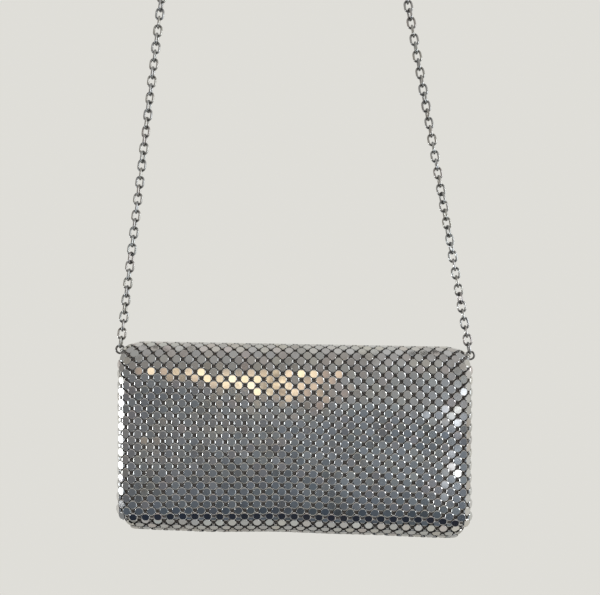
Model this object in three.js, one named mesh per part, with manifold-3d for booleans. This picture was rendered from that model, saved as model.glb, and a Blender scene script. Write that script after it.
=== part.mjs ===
// A metal mesh purse that hangs by its chain: a soft pouch, a flap that folds over its top and covers
// its front, a hidden snap, and a chain that a ring holds at each end of the fold.
// Millimetres, +Z up, and the front of the flap faces -Y.
// The origin is the underside of the chain where it hangs over a peg or a shoulder.

import * as THREE from 'three';
import { mergeVertices } from 'three/addons/utils/BufferGeometryUtils.js';
import Module from 'manifold-3d';

// Purse
const PURSE_HEIGHT = 109.5;
const FLAP_HALF_WIDTH = 101.5;
const FOLD_RADIUS = 12.5; // of the outside of the fold, so the purse is twice this deep
const MESH_WALL = 1.6; // the mesh with the cloth behind it
const FLAP_CLEARANCE = 2.2; // between the flap and the front of the pouch
const SIDE_CLEARANCE = 1.5; // between the flap's sides and the pouch
const SEAM_GAP = 0.3; // between the flap and the back of the pouch
const MOUTH_DROP = 4.2; // how far the front of the mouth lies below its back
const POUCH_CORNER_RADIUS = 7; // seen from above

// Flap
const FLAP_SIDE_RADIUS = 9; // of the bend where the flap's sides turn back
const FLAP_END_HEIGHT = 10; // of the flap's lower edge over the bottom of the purse
const CURL_RADIUS = 14; // of the bend along the flap's lower edge
const CURL_ANGLE = THREE.MathUtils.degToRad(26);

// Snap
const SNAP_RADIUS = 7;
const SNAP_CLEARANCE = 0.3;
const SNAP_HEIGHT = 30; // of its centre over the bottom of the purse

// Corner rings
const RING_RADIUS = 2.3; // to the middle of the wire
const RING_WIRE_RADIUS = 0.6;
const RING_HOLE_CLEARANCE = 0.4; // round the wire, where it goes through the flap
const RING_HOLE_MARGIN = 1.9; // from the middle of the hole to the flap's edge
const RING_PITCH = THREE.MathUtils.degToRad(10); // of the line from the hole to the ring's centre, below level

// Chain
const TILT = THREE.MathUtils.degToRad(2.5); // of the purse, whose right end hangs lower
const CHAIN_LENGTH = 1200; // from ring centre to ring centre
const LINK_WIDTH = 5.4;
const PEG_RADIUS = 15.3; // of what the chain hangs over
const CHAIN_CLEARANCE = 0.3;

// Fineness of the surfaces
const FLAT_COLUMNS = 22;
const BEND_COLUMNS = 4;
const FOLD_ROWS = 14;
const FRONT_ROWS = 16;
const CURL_ROWS = 3;
const POUCH_ROWS = 12;
const BOTTOM_ROWS = 5;
const SIDE_COLUMNS = 2;
const CHAIN_STEPS = 64;
const CHAIN_SIDES = 8;
const RING_STEPS = 16;
const RING_SIDES = 6;
const SNAP_SIDES = 24;
const HOLE_SIDES = 12;

// How the flap's sides turn back along its length. `along` is the share of the way from the back seam to the
// lower edge, `flat` the share of the half width that stays flat, and `turn` the angle of the bend in degrees.
const FLAP_SIDES = [
  { along: 0.0, flat: 0.915, turn: 80 },
  { along: 0.13, flat: 0.943, turn: 40 },
  { along: 0.3, flat: 0.915, turn: 78 },
  { along: 0.75, flat: 0.912, turn: 82 },
  { along: 1.0, flat: 0.918, turn: 70 },
];

// Soft dents and swellings. `across` is a share of the half width, `down` and `reach` are shares of the height,
// and `push` is a share of the depth, towards the back where it is positive.
const SWELLS = [
  { across: -0.62, down: 0.38, reach: 0.34, push: 0.03 },
  { across: -0.1, down: 0.55, reach: 0.42, push: -0.035 },
  { across: 0.42, down: 0.42, reach: 0.3, push: 0.028 },
  { across: 0.78, down: 0.78, reach: 0.3, push: -0.03 },
  { across: -0.85, down: 0.85, reach: 0.26, push: -0.022 },
];

// The line of the bottom. `drop` is a share of the height, and down where it is positive.
const HEM = [
  { across: -1.0, drop: -0.008 },
  { across: -0.7, drop: 0.0 },
  { across: -0.5, drop: 0.004 },
  { across: -0.1, drop: -0.003 },
  { across: 0.3, drop: 0.004 },
  { across: 0.85, drop: 0.014 },
  { across: 1.0, drop: 0.008 },
];

// The line of the flap's lower edge against the bottom. `drop` is as in the table above.
const FLAP_EDGE = [
  { across: -1.0, drop: 0.02 },
  { across: -0.5, drop: -0.003 },
  { across: 0.3, drop: -0.006 },
  { across: 0.75, drop: -0.014 },
  { across: 1.0, drop: 0.01 },
];

const BELLY = 0.06; // how much deeper the purse is at its middle
const STILL_DOWN_TO = 0.12; // the share of the height under the fold that keeps its plain shape
const SWAY = 0.012; // how far the purse leans to the right under the fold, as a share of the way down
const SHOULDER_DROP = 0.024; // of the ends of the fold, as a share of the height
const SHOULDER_START = 0.86; // the share of the half width from which they drop

// What follows from the sizes above
const purseDepth = 2 * FOLD_RADIUS;
const foldLength = Math.PI * FOLD_RADIUS;
const curlLength = CURL_RADIUS * CURL_ANGLE;
const curlDrop = CURL_RADIUS * Math.sin(CURL_ANGLE);
const frontLength = PURSE_HEIGHT - FOLD_RADIUS - FLAP_END_HEIGHT - curlDrop;
const flapLength = foldLength + frontLength + curlLength;
const pouchFront = -(FOLD_RADIUS - MESH_WALL - FLAP_CLEARANCE);
const pouchHalfDepth = (FOLD_RADIUS - pouchFront) / 2;
const pouchMiddle = (FOLD_RADIUS + pouchFront) / 2;
const pouchHalfWidth = FLAP_HALF_WIDTH - MESH_WALL - SIDE_CLEARANCE;
const backRim = -(FOLD_RADIUS + SEAM_GAP);

const steel = new THREE.MeshStandardMaterial({ color: 0xb9bbbd, roughness: 0.25, metalness: 1 });
const darkSteel = new THREE.MeshStandardMaterial({ color: 0x8d9194, roughness: 0.3, metalness: 1 });
const mesh = new THREE.MeshStandardMaterial({ color: 0x8c8e8f, roughness: 0.35, metalness: 0.9 });

const manifold = await Module();
manifold.setup();

// Reads a column of a table at a place, eased between its rows.
function readTable(table, key, place, column) {
  const next = table.findIndex((row) => row[key] >= place);
  if (next === 0) return table[0][column];
  if (next < 0) return table[table.length - 1][column];
  const before = table[next - 1];
  const after = table[next];
  const share = THREE.MathUtils.smoothstep(place, before[key], after[key]);
  return THREE.MathUtils.lerp(before[column], after[column], share);
}

// Gives a point of the plain purse its place in the soft one. The fold's top is at z = 0.
function drape(point) {
  const across = point.x / FLAP_HALF_WIDTH;
  const down = -point.z / PURSE_HEIGHT;
  const loose = THREE.MathUtils.smoothstep(down, STILL_DOWN_TO, 0.45);
  const belly = 1 + BELLY * loose * Math.sin(Math.PI * Math.min(down, 1)) * (1 - across * across);
  let push = 0;
  for (const swell of SWELLS) {
    const far = Math.hypot((across - swell.across) * FLAP_HALF_WIDTH, (down - swell.down) * PURSE_HEIGHT);
    push += swell.push * purseDepth * Math.exp(-((far / (swell.reach * PURSE_HEIGHT)) ** 2));
  }
  const hem = readTable(HEM, 'across', across, 'drop') * loose;
  const shoulder = SHOULDER_DROP * THREE.MathUtils.smoothstep(Math.abs(across), SHOULDER_START, 1) * (1 - loose);
  const drop = (hem + shoulder) * PURSE_HEIGHT;
  return new THREE.Vector3(point.x - SWAY * point.z, point.y * belly + push * loose, point.z - drop);
}

// The line that the flap follows from the back seam over the fold to its lower edge, and the way out of it.
function flapProfile(length) {
  if (length <= foldLength) {
    const angle = length / FOLD_RADIUS;
    const out = new THREE.Vector3(0, Math.cos(angle), Math.sin(angle));
    const place = new THREE.Vector3(0, 0, -FOLD_RADIUS).addScaledVector(out, FOLD_RADIUS);
    return { place, out };
  }
  const below = Math.min(length - foldLength, frontLength);
  const place = new THREE.Vector3(0, -FOLD_RADIUS, -FOLD_RADIUS - below);
  const angle = Math.max(length - foldLength - frontLength, 0) / CURL_RADIUS;
  const out = new THREE.Vector3(0, -Math.cos(angle), -Math.sin(angle));
  place.y += CURL_RADIUS * (1 - Math.cos(angle));
  place.z -= CURL_RADIUS * Math.sin(angle);
  return { place, out };
}

// A point of the flap before it is draped: `side` runs from -1 to 1 over the width, with the last share on each
// side in the bend, `length` along the flap, and `depth` into its wall.
function flapPoint(side, length, depth) {
  const { place, out } = flapProfile(length);
  const along = length / flapLength;
  const flat = readTable(FLAP_SIDES, 'along', along, 'flat') * FLAP_HALF_WIDTH;
  const turn = THREE.MathUtils.degToRad(readTable(FLAP_SIDES, 'along', along, 'turn'));
  const bend = Math.max(Math.abs(side) - 1, 0) * turn;
  const right = Math.sign(side);
  const x = right * (Math.min(Math.abs(side), 1) * flat + (FLAP_SIDE_RADIUS - depth) * Math.sin(bend));
  const inward = FLAP_SIDE_RADIUS - (FLAP_SIDE_RADIUS - depth) * Math.cos(bend);
  const hung = THREE.MathUtils.smoothstep(along, foldLength / flapLength, 1);
  const edge = readTable(FLAP_EDGE, 'across', x / FLAP_HALF_WIDTH, 'drop') * PURSE_HEIGHT * hung;
  return new THREE.Vector3(x, 0, -edge).add(place).addScaledVector(out, -inward);
}

// Even steps from one value to another, both included.
function steps(from, to, count) {
  return Array.from({ length: count + 1 }, (unused, index) => from + ((to - from) * index) / count);
}

// A closed body from its points and triangles: equal points are one, and its faces point out.
function body(points, triangles) {
  const geometry = new THREE.BufferGeometry();
  geometry.setAttribute('position', new THREE.Float32BufferAttribute(points.flatMap((p) => p.toArray()), 3));
  geometry.setIndex(triangles.flat());
  return outward(geometry);
}

// Welds equal corners, drops faces that have lost their area, and turns the faces out.
function outward(geometry) {
  const bare = geometry.clone();
  bare.deleteAttribute('normal');
  bare.deleteAttribute('uv');
  const welded = mergeVertices(bare, 1e-4);
  const index = welded.getIndex().array;
  const kept = [];
  let volume = 0;
  const corners = [new THREE.Vector3(), new THREE.Vector3(), new THREE.Vector3()];
  for (let at = 0; at < index.length; at += 3) {
    const [a, b, c] = index.slice(at, at + 3);
    if (a === b || b === c || c === a) continue;
    kept.push([a, b, c]);
    [a, b, c].forEach((corner, place) => corners[place].fromBufferAttribute(welded.attributes.position, corner));
    volume += corners[0].dot(corners[1].cross(corners[2])) / 6;
  }
  welded.setIndex((volume < 0 ? kept.map(([a, b, c]) => [a, c, b]) : kept).flat());
  return welded;
}

// The wall between an outer and an inner grid of points. `ring` joins the last column to the first, and
// `capped` welds the last row of each grid to itself instead of joining the two there.
function wall(outer, inner, { ring = false, capped = false }) {
  const rows = outer.length;
  const columns = outer[0].length;
  const points = [...outer.flat(), ...inner.flat()];
  const at = (grid, row, column) => (grid * rows + row) * columns + (column % columns);
  const triangles = [];
  const face = (a, b, c, d) => triangles.push([a, b, c], [a, c, d]);
  const lastColumn = ring ? columns : columns - 1;
  for (let column = 0; column < lastColumn; column += 1) {
    for (let row = 0; row < rows - 1; row += 1) {
      face(at(0, row, column), at(0, row + 1, column), at(0, row + 1, column + 1), at(0, row, column + 1));
      face(at(1, row, column), at(1, row, column + 1), at(1, row + 1, column + 1), at(1, row + 1, column));
    }
    face(at(0, 0, column), at(0, 0, column + 1), at(1, 0, column + 1), at(1, 0, column));
    if (capped) continue;
    const last = rows - 1;
    face(at(0, last, column), at(1, last, column), at(1, last, column + 1), at(0, last, column + 1));
  }
  for (let row = 0; row < rows - 1 && !ring; row += 1) {
    const end = columns - 1;
    face(at(0, row, 0), at(1, row, 0), at(1, row + 1, 0), at(0, row + 1, 0));
    face(at(0, row, end), at(0, row + 1, end), at(1, row + 1, end), at(1, row, end));
  }
  return body(points, triangles);
}

// A three.js geometry as a solid that can be cut, and back.
function toSolid(geometry) {
  const closed = outward(geometry);
  return new manifold.Manifold(
    new manifold.Mesh({
      numProp: 3,
      vertProperties: new Float32Array(closed.attributes.position.array),
      triVerts: new Uint32Array(closed.getIndex().array),
    }),
  );
}

function toGeometry(solid) {
  const cut = solid.getMesh();
  const geometry = new THREE.BufferGeometry();
  geometry.setAttribute('position', new THREE.Float32BufferAttribute(cut.vertProperties, 3));
  geometry.setIndex(Array.from(cut.triVerts));
  return outward(geometry);
}

// The ring's centre at one end of the fold: beside the hole that its wire passes through.
function ringCentre(right) {
  const top = foldLength / 2;
  const turn = THREE.MathUtils.degToRad(readTable(FLAP_SIDES, 'along', top / flapLength, 'turn'));
  const middleRadius = FLAP_SIDE_RADIUS - MESH_WALL / 2;
  const bend = 1 - RING_HOLE_MARGIN / (middleRadius * turn);
  const hole = drape(flapPoint(right * (1 + bend), top, MESH_WALL / 2));
  const toCentre = new THREE.Vector3(right * Math.cos(RING_PITCH), 0, -Math.sin(RING_PITCH));
  return hole.addScaledVector(toCentre, RING_RADIUS);
}

// What a ring takes away from the flap that it passes through.
function ringHole(right) {
  const centre = ringCentre(right);
  const cutter = new THREE.TorusGeometry(
    RING_RADIUS,
    RING_WIRE_RADIUS + RING_HOLE_CLEARANCE,
    HOLE_SIDES,
    2 * RING_STEPS,
  );
  cutter.rotateX(Math.PI / 2);
  cutter.translate(centre.x, centre.y, centre.z);
  return toSolid(cutter);
}

function makeFlap() {
  const sides = [
    ...steps(-2, -1, BEND_COLUMNS).slice(0, -1),
    ...steps(-1, 1, FLAT_COLUMNS),
    ...steps(1, 2, BEND_COLUMNS).slice(1),
  ];
  const lengths = [
    ...steps(0, foldLength, FOLD_ROWS),
    ...steps(foldLength, foldLength + frontLength, FRONT_ROWS).slice(1),
    ...steps(foldLength + frontLength, flapLength, CURL_ROWS).slice(1),
  ];
  const grid = (depth) => lengths.map((length) => sides.map((side) => drape(flapPoint(side, length, depth))));
  const sheet = toSolid(wall(grid(0), grid(MESH_WALL), {}));
  return toGeometry(sheet.subtract(ringHole(-1)).subtract(ringHole(1)));
}

// The outline of the pouch seen from above, `shrink` inside its widest.
function pouchOutline(shrink) {
  const halfWidth = pouchHalfWidth - shrink;
  const halfDepth = pouchHalfDepth - shrink;
  const radius = Math.max(POUCH_CORNER_RADIUS - shrink, 0);
  const flatX = halfWidth - radius;
  const flatY = Math.max(halfDepth - radius, 0);
  const corner = (x, y, from) =>
    steps(from, from + Math.PI / 2, BEND_COLUMNS).map((angle) => ({
      x: x + radius * Math.cos(angle),
      y: y + radius * Math.sin(angle),
    }));
  const line = (x, y, toX, toY, count) =>
    steps(0, 1, count)
      .slice(1, -1)
      .map((share) => ({ x: x + (toX - x) * share, y: y + (toY - y) * share }));
  return [
    ...corner(flatX, flatY, 0),
    ...line(flatX, halfDepth, -flatX, halfDepth, FLAT_COLUMNS),
    ...corner(-flatX, flatY, Math.PI / 2),
    ...line(-halfWidth, flatY, -halfWidth, -flatY, SIDE_COLUMNS),
    ...corner(-flatX, -flatY, Math.PI),
    ...line(-flatX, -halfDepth, flatX, -halfDepth, FLAT_COLUMNS),
    ...corner(flatX, -flatY, 1.5 * Math.PI),
    ...line(halfWidth, -flatY, halfWidth, flatY, SIDE_COLUMNS),
  ];
}

// One row of points round the pouch, `shrink` inside the outline, at the height that `heightAt` gives.
function pouchRow(shrink, heightAt) {
  return pouchOutline(shrink).map(({ x, y }) => {
    const height = heightAt(y + pouchMiddle);
    return drape(new THREE.Vector3(x, y + pouchMiddle, height));
  });
}

function makePouch() {
  const bottomCentre = -PURSE_HEIGHT + pouchHalfDepth;
  const rimAt = (y) => backRim - (MOUTH_DROP * (FOLD_RADIUS - y)) / purseDepth;
  const grid = (depth) => {
    const rows = steps(0, 1, POUCH_ROWS).map((share) =>
      pouchRow(depth, (y) => THREE.MathUtils.lerp(rimAt(y), bottomCentre, share)),
    );
    const radius = pouchHalfDepth - depth;
    for (const angle of steps(0, Math.PI / 2, BOTTOM_ROWS).slice(1)) {
      const shrink = depth + radius * (1 - Math.cos(angle));
      rows.push(pouchRow(shrink, () => bottomCentre - radius * Math.sin(angle)));
    }
    return rows;
  };
  return wall(grid(0), grid(MESH_WALL), { ring: true, capped: true });
}

// A round magnet between the flap and the front of the pouch, curved as they are.
function makeSnap() {
  const thickness = FLAP_CLEARANCE - 2 * SNAP_CLEARANCE;
  const disc = new THREE.CylinderGeometry(SNAP_RADIUS, SNAP_RADIUS, thickness, SNAP_SIDES);
  disc.translate(0, pouchFront - FLAP_CLEARANCE / 2, -PURSE_HEIGHT + SNAP_HEIGHT);
  const place = disc.attributes.position;
  const corner = new THREE.Vector3();
  for (let index = 0; index < place.count; index += 1) {
    corner.fromBufferAttribute(place, index);
    const draped = drape(corner);
    place.setXYZ(index, draped.x, draped.y, draped.z);
  }
  return outward(disc);
}

function makeRing() {
  const ring = new THREE.TorusGeometry(RING_RADIUS, RING_WIRE_RADIUS, RING_SIDES, RING_STEPS);
  ring.rotateX(Math.PI / 2);
  return outward(ring);
}

// One side of the chain's route over the peg: the ring that it starts from, the length of its straight strand,
// the angle at the peg's centre from straight down to where the strand meets the bend, and its length to the top.
function routeFrom(ring) {
  const radius = PEG_RADIUS + LINK_WIDTH / 2;
  const reach = Math.abs(ring.x);
  const below = -PEG_RADIUS - ring.z;
  const away = Math.hypot(reach, below);
  const strand = Math.sqrt(away * away - radius * radius);
  const touch = Math.atan2(reach, below) + Math.acos(radius / away);
  return { ring, radius, strand, touch, length: strand + radius * (Math.PI - touch) };
}

// The two sides of the route for rings that hang lower by `drop` than they are given.
function routeSides(rings, drop) {
  return rings.map((ring) => routeFrom(new THREE.Vector3(ring.x, 0, ring.z - drop)));
}

// How far the rings have to hang lower, so that the route is as long as the chain.
function ringDrop(rings) {
  let low = PEG_RADIUS;
  let high = CHAIN_LENGTH;
  for (let round = 0; round < 60; round += 1) {
    const middle = (low + high) / 2;
    const [left, right] = routeSides(rings, middle);
    if (left.length + right.length < CHAIN_LENGTH) low = middle;
    else high = middle;
  }
  return low;
}

// The middle line of the chain: up the left strand, round the peg and down the right one.
class ChainRoute extends THREE.Curve {
  constructor(sides) {
    super();
    this.sides = sides;
    this.strandShare = 0.25;
  }

  getPoint(share, target = new THREE.Vector3()) {
    const { ring, radius, strand, touch } = this.sides[share > 0.5 ? 1 : 0];
    const fromEnd = Math.min(share, 1 - share);
    const turned = Math.max(fromEnd - this.strandShare, 0) / (0.5 - this.strandShare);
    const angle = touch + turned * (Math.PI - touch);
    target.set(Math.sign(ring.x) * radius * Math.sin(angle), 0, -PEG_RADIUS - radius * Math.cos(angle));
    if (fromEnd >= this.strandShare) return target;
    const start = (RING_RADIUS + RING_WIRE_RADIUS + CHAIN_CLEARANCE) / strand;
    const up = start + (1 - start) * (fromEnd / this.strandShare);
    return target.lerpVectors(ring, target.clone(), up);
  }

  // Steps follow getPoint's own shares, so that most of them lie on the bend.
  getUtoTmapping(share) {
    return share;
  }
}

function makeChain(sides) {
  const section = new THREE.Shape(
    Array.from({ length: CHAIN_SIDES }, (unused, side) => {
      const angle = (2 * Math.PI * (side + 0.5)) / CHAIN_SIDES;
      return new THREE.Vector2(Math.cos(angle), Math.sin(angle)).multiplyScalar(LINK_WIDTH / 2);
    }),
  );
  const extrudePath = new ChainRoute(sides);
  return outward(new THREE.ExtrudeGeometry(section, { steps: CHAIN_STEPS, extrudePath, bevelEnabled: false }));
}

function named(name, geometry, material, parent) {
  const piece = new THREE.Mesh(geometry, material);
  piece.name = name;
  parent.add(piece);
  return piece;
}

const group = new THREE.Group();
const purse = new THREE.Group();
purse.rotation.y = TILT;
purse.position.x = (Math.sin(TILT) * PURSE_HEIGHT) / 2; // its middle hangs straight under the peg
purse.updateMatrix();
const rings = [-1, 1].map((right) => ringCentre(right).applyMatrix4(purse.matrix));
const drop = ringDrop(rings);
purse.position.z = -drop;
group.add(purse);

named('mesh_pouch', makePouch(), mesh, purse);
named('mesh_flap', makeFlap(), mesh, purse);
named('hidden_snap', makeSnap(), steel, purse);
named('corner_ring_left', makeRing(), darkSteel, purse).position.copy(ringCentre(-1));
named('corner_ring_right', makeRing(), darkSteel, purse).position.copy(ringCentre(1));
named('chain', makeChain(routeSides(rings, drop)), darkSteel, group);

export default group;
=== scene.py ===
"""A metal mesh purse on its chain: plated discs linked by rings, with dark cloth behind them."""

import itertools
import math

import bpy
import numpy as np
from bpy.props import FloatProperty, FloatVectorProperty, IntProperty, PointerProperty
from bpy.types import Operator, Panel, PropertyGroup
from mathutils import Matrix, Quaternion, Vector


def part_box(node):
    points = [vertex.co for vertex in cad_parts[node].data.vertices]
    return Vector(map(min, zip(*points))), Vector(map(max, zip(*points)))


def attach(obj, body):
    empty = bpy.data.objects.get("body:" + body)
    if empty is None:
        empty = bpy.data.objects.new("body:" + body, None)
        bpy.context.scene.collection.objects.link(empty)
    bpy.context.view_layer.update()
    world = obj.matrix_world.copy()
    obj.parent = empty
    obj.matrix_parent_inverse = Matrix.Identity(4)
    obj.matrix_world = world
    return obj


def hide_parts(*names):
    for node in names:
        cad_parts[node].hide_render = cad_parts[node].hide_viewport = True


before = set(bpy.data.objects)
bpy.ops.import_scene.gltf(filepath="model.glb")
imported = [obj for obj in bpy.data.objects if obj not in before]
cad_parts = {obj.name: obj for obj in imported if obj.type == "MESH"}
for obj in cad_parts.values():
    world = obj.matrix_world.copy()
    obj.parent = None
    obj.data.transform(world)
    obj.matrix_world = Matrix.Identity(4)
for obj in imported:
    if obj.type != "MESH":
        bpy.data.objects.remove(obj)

bl_info = {
    "name": "Metal mesh purse",
    "version": (1, 0, 0),
    "blender": (4, 5, 0),
    "location": "View3D > Sidebar > Purse",
    "description": "Builds a metal mesh purse that hangs by its chain",
    "category": "Add Mesh",
}

MM = 0.001

# Where the rings are, and how the purse hangs between them, with the fold's top a little above them.
LEFT_RING, RIGHT_RING = (
    sum(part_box(node), Vector()) / 2 for node in ("corner_ring_left", "corner_ring_right")
)
RING_SPAN = RIGHT_RING - LEFT_RING
TILT = math.atan2(-RING_SPAN.z, RING_SPAN.x)
FOLD_TURN = np.array(
    [[math.cos(TILT), 0, -math.sin(TILT)], [0, 1, 0], [math.sin(TILT), 0, math.cos(TILT)]]
)
RING_DROP = 4.716 * MM
FOLD_PLACE = np.array((LEFT_RING + RIGHT_RING) / 2) + RING_DROP * FOLD_TURN[2]

# How the flap's sides turn back along its length: the share of the way from the back seam to the lower
# edge, the share of the half width that stays flat, and the angle of the bend in degrees.
FLAP_SIDES = {
    "along": (0.0, 0.13, 0.3, 0.75, 1.0),
    "flat": (0.915, 0.943, 0.915, 0.912, 0.918),
    "turn": (80, 40, 78, 82, 70),
}

# Soft dents and swellings: where, as shares of the half width and of the height, how far they reach, as a
# share of the height, and how deep they are, as a share of the purse's depth.
SWELLS = {
    "across": (-0.62, -0.1, 0.42, 0.78, -0.85),
    "down": (0.38, 0.55, 0.42, 0.78, 0.85),
    "reach": (0.34, 0.42, 0.3, 0.3, 0.26),
    "push": (0.012, -0.014, 0.011, -0.012, -0.009),
}

# The share of the height where the purse has all its softness.
LOOSE = 0.45

# The line of the bottom, as shares of the half width and of the height.
HEM = {
    "across": (-1.0, -0.7, -0.5, -0.1, 0.3, 0.85, 1.0),
    "drop": (-0.008, 0.0, 0.004, -0.003, 0.004, 0.014, 0.008),
}

# The line of the flap's lower edge against the bottom.
FLAP_EDGE = {
    "across": (-1.0, -0.5, 0.3, 0.75, 1.0),
    "drop": (0.02, -0.003, -0.006, -0.014, 0.01),
}

# How the discs of the flap's front lean where it rolls out of the fold, in degrees, by the share of the
# height. The roll lies lower to the right.
ROLL = {
    "down": (0.11, 0.15, 0.194, 0.237, 0.28, 0.355, 0.46, 0.59, 0.68),
    "lean": (0.0, 1.0, -0.3, -2.3, -3.1, -2.9, -1.1, -0.1, 0.0),
}
ROLL_SLOPE = 0.105
ROLL_MIDDLE = -0.31

# How far the discs of the pouch's bottom lean down, as a tangent, and how this fades and ends towards its
# underside.
BOTTOM_LEAN = 0.19
BOTTOM_FADE = 2.5
BOTTOM_END = 0.3

# The most that a disc leans by chance, in times its usual tilt, and how far the rings lean, as a tangent.
LEAN_LIMIT = 2.3
RING_LEAN = 0.08

# The outline of a disc from one arm to the next, as shares of its radius, and the depth of its bevel, as a
# share of the bevel's width.
DISC_OUTLINE = (0.9, 0.967, 1.0, 0.967)
BEVEL_DEPTH = 0.65

# Where the discs lie over each other like scales, with painted shade as dark lines between them: at the
# fold, at the bottom, and at the purse's sides from this share of the half width.
LINED = ("flap_fold", "pouch_bottom")
LINED_SIDES = 0.935

# A disc's arm, from the disc to its hook: how far out and how deep its middle is in millimetres, and its
# width.
ARM = {
    "out": (2.0, 2.22, 2.42, 2.48, 2.25),
    "depth": (0.1, 0.14, 0.38, 0.84, 1.2),
    "width": (1.0, 1.0, 0.92, 0.8, 0.65),
}

# The columns of discs that are tried across the flap, the room beside its outermost discs, and how much
# further out its rings go, as a share of half the pitch.
FLAP_COLUMNS = range(-20, 21)
FLAP_MARGIN = 0.2 * MM
RINGS_BEYOND = 0.6

# The step that shows a surface's directions, as a share of the pitch, and the least share of the usual
# distance between two neighbours.
SURFACE_STEP = 0.3
LEAST_APART = 0.8

# The cloth lies this far inside the edges of the mesh, is this thick to each side of its middle, ends this
# far above the ridge of the bottom, and has this many steps over the flap and up the pouch.
CLOTH_MARGIN = 1.2 * MM
CLOTH_HALF = 0.12 * MM
CLOTH_RIDGE = 0.02 * MM
CLOTH_STEPS = 60
CLOTH_STEPS_UP = 40

# The angle up to which the metal looks rounded and not creased.
CREASE = math.radians(50)

# The slight colours of the plating, from piece to piece, and how strong they are.
TINTS = (
    (1.0, 0.86, 0.84),
    (1.0, 1.0, 0.84),
    (1.0, 1.0, 1.0),
    (0.93, 1.0, 0.95),
    (0.9, 0.96, 1.0),
    (1.0, 0.98, 0.97),
)
TINTED = 0.4

# Lamps: name, place from the middle of the fold, size, power and colour. All face the purse's middle.
LAMPS = (
    ("Left window", (-1.295, -0.11, -0.27), (1.05, 0.12), 3.0, (0.92, 0.97, 1.0)),
    ("Right window", (1.2, -0.42, 0.12), (0.36, 0.7), 4, (0.9, 0.95, 1.0)),
    ("Ceiling", (0.0, 0.1, 1.6), (1.6, 1.6), 1.5, (1.0, 0.99, 0.96)),
)
LAMP_TARGET = 55 * MM

# The room that the metal reflects in front of it: the height of a direction, and the colour on its left
# and right.
ROOM = (
    (-1.0, (0.43, 0.48, 0.49), (0.25, 0.275, 0.285)),
    (-0.88, (0.4, 0.45, 0.46), (0.18, 0.198, 0.204)),
    (-0.84, (0.055, 0.065, 0.085), (0.05, 0.055, 0.07)),
    (-0.78, (0.028, 0.035, 0.053), (0.025, 0.03, 0.045)),
    (-0.66, (0.033, 0.045, 0.07), (0.03, 0.038, 0.058)),
    (-0.48, (0.045, 0.064, 0.094), (0.06, 0.078, 0.1)),
    (-0.31, (0.135, 0.158, 0.189), (0.2, 0.232, 0.27)),
    (-0.23, (0.208, 0.22, 0.238), (0.325, 0.362, 0.4)),
    (-0.15, (0.262, 0.261, 0.258), (0.41, 0.44, 0.465)),
    (0.1, (0.36, 0.338, 0.31), (0.5, 0.475, 0.45)),
    (0.545, (0.42, 0.414, 0.4), (0.52, 0.515, 0.5)),
    (0.87, (0.49, 0.485, 0.475), (0.5, 0.495, 0.485)),
    (1.0, (0.56, 0.555, 0.54), (0.52, 0.515, 0.5)),
)
# How far from straight ahead the room's two sides blend, how far the wall behind the purse comes forward
# to the right and below, and the range of depth in which it begins.
SIDES_BLEND = 0.35
WALL_LEAN = (0.25, 0.5)
WALL_EDGE = (-0.1, 0.2)
WALL_COLOUR = (0.74, 0.73, 0.69)
FLOOR_COLOUR = (0.78, 0.77, 0.74)

# Soft glows in the room, seen only in the metal: the place across and in height, how much higher the glow
# gets to the right, half its width and height, all as tangents of angles from straight ahead, and its
# colours in the middle, half way out and at the rim. Those three lie at GLOW_PLACES, as shares of the
# way out, and from GLOW_FADE on the glow fades.
GLOW_PLACES = (0.25, 0.6, 0.9)
GLOW_FADE = 0.75
GLOWS = (
    (-0.105, -0.104, 0.0, 0.17, 0.046, ((2.1, 1.82, 1.3), (1.65, 1.31, 0.92), (0.8, 0.56, 0.44))),
    (0.65, -0.255, -0.09, 0.5, 0.055, ((3.2, 3.3, 3.4), (2.6, 2.7, 2.8), (0.5, 0.54, 0.6))),
    (0.5, -0.375, -0.1, 0.26, 0.03, ((2.6, 2.8, 3.0), (1.6, 1.8, 2.0), (0.45, 0.52, 0.62))),
)


def mm(name, description, default):
    """A length, with its default in millimetres."""
    return FloatProperty(name=name, description=description, default=default * MM, unit="LENGTH")


def degrees(name, description, default):
    """An angle, with its default in degrees."""
    return FloatProperty(name=name, description=description, default=math.radians(default), subtype="ANGLE")


def number(name, description, default):
    return FloatProperty(name=name, description=description, default=default)


def paint(name, description, default):
    return FloatVectorProperty(
        name=name, description=description, default=default, subtype="COLOR", min=0, max=1
    )


class PurseShape(PropertyGroup):
    height: mm("Height", "From the fold to the bottom", 109.5)
    half_width: mm("Half width", "Of the flap", 101.5)
    fold_radius: mm("Fold radius", "Of the outside of the fold", 12.5)
    wall: mm("Wall", "Mesh and cloth together", 1.6)
    flap_clearance: mm("Flap clearance", "Between the flap and the pouch", 2.2)
    side_clearance: mm("Side clearance", "Between the flap's sides and the pouch", 1.5)
    seam_gap: mm("Seam gap", "Between the flap and the back", 0.3)
    mouth_drop: mm("Mouth drop", "How far the mouth's front lies under its back", 4.2)
    corner_radius: mm("Corner radius", "Of the pouch, seen from above", 7)
    side_radius: mm("Side radius", "Where the flap's sides turn back", 9)
    end_height: mm("Edge height", "Of the flap's lower edge over the bottom", 10)
    curl_radius: mm("Curl radius", "Of the bend along the lower edge", 14)
    curl_angle: degrees("Curl", "Of the bend along the lower edge", 26)
    belly: number("Belly", "How much deeper the purse is at its middle", 0.06)
    still: number("Still top", "Share of the height that keeps its shape", 0.12)
    sway: number("Sway", "Lean to the right, as a share of the way down", 0.012)
    shoulder_drop: number("Shoulder drop", "Of the fold's ends, as a share of the height", 0.024)
    shoulder_start: number("Shoulder start", "Share of the half width where the fold drops", 0.86)


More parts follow.
